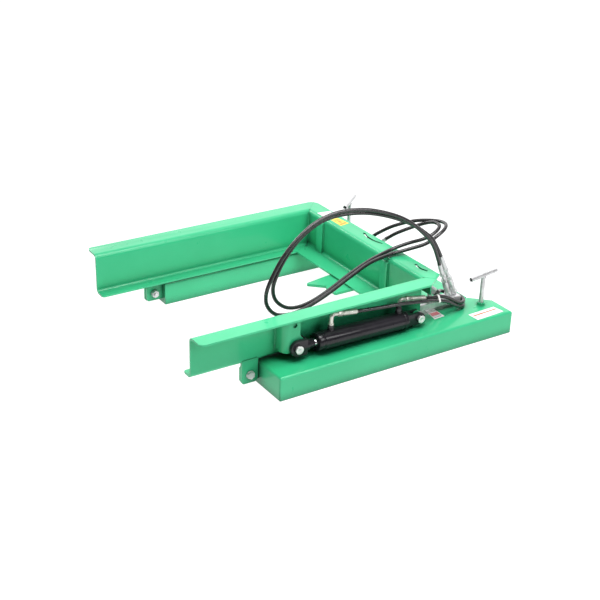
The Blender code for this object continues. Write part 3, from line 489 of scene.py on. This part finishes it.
def turned_bm(profile, steps):
    """A solid of revolution about Z. The profile is a list of (radius, height)."""
    bm = bmesh.new()
    rings = []
    for r, z in profile:
        if r == 0:
            rings.append([bm.verts.new((0, 0, z))] * steps)
        else:
            rings.append([bm.verts.new((r * math.cos(2 * math.pi * k / steps),
                                        r * math.sin(2 * math.pi * k / steps), z)) for k in range(steps)])
    for low, high in zip(rings, rings[1:]):
        for k in range(steps):
            corners = [low[k], low[(k + 1) % steps], high[(k + 1) % steps], high[k]]
            unique = list(dict.fromkeys(corners))
            if len(unique) > 2:
                bm.faces.new(unique)
    return bm


def turned(name, profile, start, direction, material, body, steps=64):
    bm = turned_bm(profile, steps)
    place_along(bm, start, direction)
    return add_piece(name, to_mesh(bm), material, body)


def rod(radius, start, end, chamfer=0.0006):
    c = chamfer
    return [(0, start), (radius - c, start), (radius - 0.3 * c, start + 0.3 * c), (radius, start + c),
            (radius, end - c), (radius - 0.3 * c, end - 0.3 * c), (radius - c, end), (0, end)]


def tube_wall(inner, outer, start, end, chamfer=0.0006):
    c = chamfer
    ring = [(inner, start + c), (inner + c, start), (outer - c, start), (outer, start + c),
            (outer, end - c), (outer - c, end), (inner + c, end), (inner, end - c)]
    return [*ring, ring[0]]


def weld(name, points, radius, body, material=None, closed=False):
    """A bead of weld: a low ripple along its line."""
    line = smooth_route(points, 0.0016) if len(points) > 2 else even_line(points, 0.0016)
    radii = []
    for i in range(len(line)):
        ends = 1.0 if closed else min(1.0, 0.45 + 0.18 * min(i, len(line) - 1 - i))
        radii.append(radius * ends * (0.93 + 0.10 * math.sin(1.55 * i) + 0.05 * math.sin(0.37 * i + 1.0)))
    return add_piece(name, tube_mesh(line, radius, 10, radii), material or GREEN, body)


def even_line(points, spacing):
    a, b = Vector(points[0]), Vector(points[-1])
    steps = max(2, round((b - a).length / spacing))
    return [a.lerp(b, i / steps) for i in range(steps + 1)]


def ring_points(centre, radius, axis, steps=40):
    u = Vector(axis).orthogonal().normalized()
    v = Vector(axis).normalized().cross(u)
    return [Vector(centre) + radius * (math.cos(t) * u + math.sin(t) * v)
            for t in (2 * math.pi * k / steps for k in range(steps + 1))]


# ---- cylinders ----------------------------------------------------------------------------------
BASE_PIN = (0.288, 0.141)
ROD_PIN = (-0.298, 0.155)
CYL_Y = 0.476
SLOPE = math.atan2(ROD_PIN[1] - BASE_PIN[1], BASE_PIN[0] - ROD_PIN[0])
REACH = math.hypot(ROD_PIN[1] - BASE_PIN[1], BASE_PIN[0] - ROD_PIN[0])
CYL_AXIS = (math.cos(SLOPE), 0, -math.sin(SLOPE))
CYL_UP = (math.sin(SLOPE), 0, math.cos(SLOPE))


def on_cylinder(sign, x, up=0.0):
    """A point in the cylinder's own frame: x from the base pin along its axis, up across it."""
    return Vector((BASE_PIN[0], sign * CYL_Y, BASE_PIN[1])) + x * Vector(CYL_AXIS) + up * Vector(CYL_UP)


BARREL_R = 0.0381
BORE_R = 0.0310
ROD_R = 0.0150
PIN_R = 0.0127
CLEVIS_FACE = 0.0352  # from the cylinder's axis to a clevis' outer face
CLIP_T = 0.002
PORTS = (("front", -0.426, 0.1035, 0.125, -0.105), ("rear", -0.098, 0.0976, 0.1359, -0.159))


def add_cylinder(side, sign):
    body, ram = f"{side}_cylinder", f"{side}_ram"
    start = on_cylinder(sign, 0)

    def part(name, profile, material, owner, slot, node=None):
        piece = turned(f"{side}_{name}", profile, start, CYL_AXIS, material, owner)
        if node:
            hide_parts(f"{side}_{node}")

    part("barrel_tube", tube_wall(BORE_R, BARREL_R, -0.466, -0.0815, 0.0010), BLACK, body, "black_enamel",
         "barrel")
    gland = [(0.0152, -0.420), (0.0305, -0.420), (0.0305, -0.4662), (0.0368, -0.4662), (0.0370, -0.4670),
             (0.0370, -0.4725), (0.0362, -0.4733), (0.0362, -0.4760), (0.0370, -0.4768), (0.0370, -0.4925),
             (0.0360, -0.4942), (0.0345, -0.4950), (0.0225, -0.4950), (0.0215, -0.4940), (0.0190, -0.4940),
             (0.0180, -0.4955), (0.0160, -0.4955), (0.0152, -0.4945), (0.0152, -0.420)]
    part("gland_nut", gland, BLACK, body, "black_enamel", "gland")
    part("rod_bar", rod(ROD_R, -REACH + 0.0811, -0.1225), CHROME, ram, "chrome_rod", "rod")
    part("piston_head", rod(BORE_R - 0.0004, -0.122, -0.088, 0.001), ZINC, ram, "bare_steel", "piston")
    cap_seam = ring_points(on_cylinder(sign, -0.0812), 0.0372, CYL_AXIS)
    weld(f"{side}_cap_weld", cap_seam, 0.0023, body, BLACK, True)
    for end, x, *_ in PORTS:
        seam = ring_points(on_cylinder(sign, x, 0.0375), 0.0130, CYL_UP, 24)
        weld(f"{side}_boss_weld_{end}", seam, 0.0018, body, BLACK, True)
    for end, x, top, run, drop in PORTS:
        add_port(f"{side}_{end}_port", sign, x, top, run, drop, end == "front", body)
    add_pin(f"{side}_base_pin", sign, BASE_PIN, "base")
    add_pin(f"{side}_rod_pin", sign, ROD_PIN, ram)


def add_pin(name, sign, at, body):
    """A headed pin through a clevis, with a clip round it at the clevis' inner face."""
    x, z = at
    r = PIN_R
    profile = [(0, 0.0009), (0.0034, 0.0009), (0.0044, 0.0002), (0.0149, 0.0), (0.0163, 0.0004),
               (0.0169, 0.0014), (0.0169, 0.0032), (0.0163, 0.0035), (r, 0.0035), (r, 0.0686),
               (r - 0.0012, 0.0704), (0, 0.0704)]
    inwards = (0, -sign, 0)
    piece = turned(f"{name}_bar", profile, (x, sign * (CYL_Y + CLEVIS_FACE), z), inwards, PIN_METAL, body)
    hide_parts(name)
    clip = tube_wall(r - 0.0006, r + 0.0016, 0, CLIP_T, 0.0003)
    clip_start = (x, sign * (CYL_Y - CLEVIS_FACE + CLIP_T), z)
    turned(f"{name}_clip", clip, clip_start, inwards, DARK_STEEL, body, 40)


def add_port(name, sign, x, top, run, drop, silver, body):
    """A boss, an adapter with its hexagon, a turned elbow and the hose's crimped ferrule."""
    base = on_cylinder(sign, x)
    up = Vector(CYL_UP)
    line = (Vector(CYL_AXIS) + drop * up).normalized()
    boss_profile = rod(0.0130, 0.0362, 0.0470, 0.0010)
    boss = turned(f"{name}_boss", boss_profile, base, up, BLACK, body, 40)
    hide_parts(name)
    hexagon(f"{name}_adapter_hex", base + 0.0470 * up, up, 0.0225, 0.0115, DARK_STEEL, body)
    bend = [base + 0.0560 * up, base + (top - 0.0160) * up, base + (top - 0.0050) * up + 0.0035 * line,
            base + top * up + 0.0130 * line, base + top * up + 0.0300 * line]
    route = smooth_route(bend, 0.0025)
    add_piece(f"{name}_elbow", tube_mesh(route, 0.0088, 28), NICKEL, body)
    if not silver:
        sleeve = rod(0.0100, 0.0570, 0.0850, 0.0012)
        turned(f"{name}_adapter", sleeve, base, up, BLACK, body, 40)
    collar = rod(0.0116, 0.0590, 0.0660, 0.0010)
    turned(f"{name}_collar", collar, base, up, NICKEL if silver else BLACK, body, 40)
    begin = base + top * up + 0.0060 * line
    length = run - 0.012
    hexagon(f"{name}_swivel", begin + 0.20 * length * line, line, 0.0210, 0.18 * length, NICKEL, body)
    turned(f"{name}_ferrule", ferrule_profile(length), begin, line, NICKEL, body, 40)


def ferrule_profile(length):
    """The hose end's plain tail and its crimped ferrule, ridge after ridge."""
    profile = [(0, 0.0), (0.0078, 0.0), (0.0078, 0.42 * length), (0.0096, 0.425 * length)]
    at = 0.43 * length
    while at < 0.97 * length:
        profile += [(0.0108, at + 0.0012), (0.0108, at + 0.0062)]
        profile += [(0.0100, at + 0.0074), (0.0100, at + 0.0084)]
        at += 0.0092
    return [*profile, (0.0098, length), (0.0086, length + 0.0006), (0, length + 0.0006)]


def hexagon(name, start, direction, across, length, material, body):
    """A hexagon nut with its corners chamfered round."""
    bm = bmesh.new()
    corner = across / math.sqrt(3)
    bmesh.ops.create_cone(bm, cap_ends=True, segments=6, radius1=corner, radius2=corner, depth=length)
    bmesh.ops.translate(bm, vec=(0, 0, length / 2), verts=bm.verts)
    bmesh.ops.bevel(bm, geom=list(bm.edges), offset=0.0008, segments=2, affect="EDGES", profile=0.5)
    place_along(bm, start, direction)
    add_piece(name, to_mesh(bm), material, body)


PIN_METAL = zinc_plate("pin_metal", (0.80, 0.80, 0.79))
DARK_STEEL = plain("dark_steel", (0.035, 0.035, 0.038), 0.35)
NICKEL = zinc_plate("nickel_fitting", (0.76, 0.74, 0.68))
for side, sign in SIDES.items():
    add_cylinder(side, sign)


# ---- locking pins with T handles ----------------------------------------------------------------
LOCKS = {"left": (0.645, -0.461, 0.12), "right": (0.630, 0.504, 0.66)}
LOCK_R = 0.0098
HANDLE_HALF = 0.0775
HANDLE_Z = 0.2400


def add_lock(side, x, y, turn):
    """A locking pin: a plain shaft with a tube welded across its top, in the base's collar."""
    body = f"{side}_lock"
    lean = Vector((math.cos(turn), math.sin(turn), 0.03)).normalized()
    grip = tube_wall(0.0070, LOCK_R, -HANDLE_HALF, HANDLE_HALF, 0.0008)
    handle = turned(f"{side}_lock_handle", grip, (x, y, HANDLE_Z), lean, ZINC, body)
    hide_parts(f"{side}_lock_pin")
    shaft = rod(LOCK_R, 0.035, HANDLE_Z - 0.0070, 0.002)
    turned(f"{side}_lock_shaft", shaft, (x, y, 0), (0, 0, 1), ZINC, body)
    under_handle = ring_points((x, y, HANDLE_Z - 0.0100), 0.0102, (0, 0, 1), 24)
    weld(f"{side}_lock_weld", under_handle, 0.0018, body, ZINC, True)
    round_collar = ring_points((x, y, 0.1020), 0.0176, (0, 0, 1), 30)
    weld(f"{side}_collar_weld", round_collar, 0.0022, "base", None, True)


for side, (x, y, turn) in LOCKS.items():
    add_lock(side, x, y, turn)


# ---- welds --------------------------------------------------------------------------------------
for side, sign in SIDES.items():
    for name, points, radius, body in (
            ("corner_inside", [(0.3372, 0.4152, 0.127), (0.3372, 0.4152, 0.262)], 0.0034, "tilt_frame"),
            ("corner_flange", [(0.3330, 0.4110, 0.1160), (0.2862, 0.3640, 0.1160)], 0.0028, "tilt_frame"),
            ("corner_top", [(0.3450, 0.4230, 0.2825), (0.3845, 0.4625, 0.2825)], 0.0016, "tilt_frame"),
            ("bracket_front", [(-0.3585, 0.4250, 0.138), (-0.3585, 0.4250, 0.262)], 0.0036, "tilt_frame"),
            ("lug_under_arm", [(-0.5010, 0.4245, 0.1210), (-0.4340, 0.4245, 0.1210)], 0.0030, "tilt_frame"),
            ("cylinder_lug_out", [(0.2650, 0.4842, 0.1022), (0.3255, 0.4842, 0.1022)], 0.0026, "base"),
            ("cylinder_lug_in", [(0.2650, 0.4678, 0.1022), (0.3255, 0.4678, 0.1022)], 0.0026, "base"),
            ("box_corner", [(-0.4248, 0.5700, 0.003), (-0.4248, 0.5700, 0.090)], 0.0016, "base")):
        weld(f"{side}_{name}_weld", mirrored(points, sign), radius, body)
for i, y in enumerate((-0.182, 0.312)):
    for edge in (-0.0245, 0.0245):
        points = [(0.3370, y + edge, 0.120), (0.3370, y + edge, 0.258)]
        weld(f"rib_{i}_{'left' if edge < 0 else 'right'}_weld", points, 0.0022, "tilt_frame")


# ---- labels and the tie -------------------------------------------------------------------------
PAPER = plain("label_white", (0.86, 0.86, 0.85), 0.35)
YELLOW = plain("label_yellow", (0.84, 0.62, 0.04), 0.35)
AMBER = plain("label_amber", (0.45, 0.24, 0.03), 0.4)
PINK = plain("label_pink", (0.74, 0.20, 0.24), 0.4)
ORANGE = plain("label_orange", (0.78, 0.13, 0.04), 0.4)
GREY = plain("label_grey", (0.42, 0.40, 0.38), 0.4)
NYLON = plain("white_nylon", (0.74, 0.74, 0.72), 0.3)
PAPER_T = 0.0003
MARK_RISE = 0.0001
MARK_T = 0.00035
FRAME_LABEL_Z = 0.2831
BASE_LABEL_Z = 0.1017


def label(name, corners, z, body, paper, marks=()):
    """A printed label on a flat top. A mark is (u from, v from, u to, v to, ink) in the label's square."""
    a, b, c, d = (Vector((*q, 0)) for q in corners)

    def at(u, v):
        return a.lerp(b, u).lerp(d.lerp(c, u), v)

    for i, (u0, v0, u1, v1, ink) in enumerate(((0, 0, 1, 1, paper), *marks)):
        bm = bmesh.new()
        low = z + (MARK_RISE if i else 0)
        top = low + (MARK_T if i else PAPER_T)
        square = [at(u0, v0), at(u1, v0), at(u1, v1), at(u0, v1)]
        rows = [[bm.verts.new((q.x, q.y, height)) for q in square] for height in (low, top)]
        bm.faces.new(rows[0])
        bm.faces.new(rows[1])
        for k in range(4):
            bm.faces.new((rows[0][k], rows[0][(k + 1) % 4], rows[1][(k + 1) % 4], rows[1][k]))
        add_piece(f"{name}_{i}", to_mesh(bm, 20.0), ink, body)


label("yellow_label", [(0.360, 0.187), (0.410, 0.197), (0.400, 0.277), (0.360, 0.267)], FRAME_LABEL_Z,
      "tilt_frame", YELLOW,
      [(0.10, 0.10, 0.90, 0.24, AMBER), (0.12, 0.66, 0.88, 0.71, AMBER), (0.12, 0.78, 0.88, 0.83, AMBER),
       (0.35, 0.34, 0.65, 0.58, AMBER)])
label("white_label", [(0.352, 0.312), (0.398, 0.306), (0.422, 0.359), (0.352, 0.369)], FRAME_LABEL_Z,
      "tilt_frame", PAPER,
      [(0.12, 0.20, 0.80, 0.25, GREY), (0.12, 0.40, 0.70, 0.44, GREY), (0.12, 0.60, 0.84, 0.64, GREY)])
label("small_label", [(0.386, -0.474), (0.441, -0.471), (0.444, -0.393), (0.402, -0.390)], BASE_LABEL_Z,
      "base", PAPER,
      [(0.08, 0.30, 0.92, 0.62, PINK), (0.10, 0.10, 0.80, 0.15, GREY), (0.10, 0.72, 0.85, 0.76, GREY),
       (0.10, 0.84, 0.70, 0.88, GREY)])
label("long_label", [(0.540, -0.568), (0.687, -0.559), (0.678, -0.505), (0.536, -0.511)], BASE_LABEL_Z,
      "base", PAPER,
      [(0.04, 0.56, 0.96, 0.70, ORANGE), (0.06, 0.36, 0.90, 0.41, GREY), (0.06, 0.22, 0.80, 0.27, GREY),
       (0.06, 0.82, 0.60, 0.87, GREY)])


TIE_X = 0.3935
TIE_WIDTH = 0.0100
TIE_T = 0.0014


def add_tie(side, sign):
    """A flat nylon band round a cylinder's two hoses."""
    low, high = Vector((TIE_X, sign * 0.4800, 0.1875)), Vector((TIE_X, sign * 0.4708, 0.2022))
    along = Vector((0.95, 0, -0.31)).normalized()
    spread = (high - low).normalized()
    across = along.cross(spread).normalized()
    r = HOSE_R + TIE_T
    outline = []
    for centre, first in ((high, 0), (low, 180)):
        for k in range(13):
            t = math.radians(first + 15 * k)
            outline.append(centre + r * (math.cos(t) * across + math.sin(t) * spread))
    bm = bmesh.new()
    rows = [[bm.verts.new(q + along * reach) for q in outline] for reach in (-TIE_WIDTH / 2, TIE_WIDTH / 2)]
    bm.faces.new(rows[0])
    bm.faces.new(rows[1])
    count = len(outline)
    for k in range(count):
        bm.faces.new((rows[0][k], rows[0][(k + 1) % count], rows[1][(k + 1) % count], rows[1][k]))
    rims = [e for e in bm.edges if e.calc_face_angle(0) > 1.0]
    bmesh.ops.bevel(bm, geom=rims, offset=0.0006, segments=2, affect="EDGES", profile=0.5)
    add_piece(f"{side}_tie", to_mesh(bm), NYLON, "base")


for side, sign in SIDES.items():
    add_tie(side, sign)


# ---- CAD shapes with rounded edges --------------------------------------------------------------
ROUNDED = {"rear_crossmember": 0.003, "rest_plate": 0.0012, "rear_beam": 0.0012,
           "left_hanger_plate": 0.0010, "left_manifold": 0.0006, "right_manifold": 0.0006,
           "quick_coupler_a": 0.0004, "quick_coupler_b": 0.0004, "coupler_sleeve_a": 0.0004,
           "coupler_sleeve_b": 0.0004}
ROUNDED_PAIRS = {"base_box": 0.0030, "pivot_ear": 0.0010, "pivot_bolt": 0.0006, "pivot_nut": 0.0008,
                 "cylinder_lug": 0.0010, "lock_collar": 0.0008, "arm": 0.0012, "pivot_lug": 0.0015,
                 "lever_bracket": 0.0012, "base_clevis": 0.0012, "rod_clevis": 0.0012}
for side in SIDES:
    ROUNDED.update({f"{side}_{part}": width for part, width in ROUNDED_PAIRS.items()})
for node, width in ROUNDED.items():
    refined(node, width)
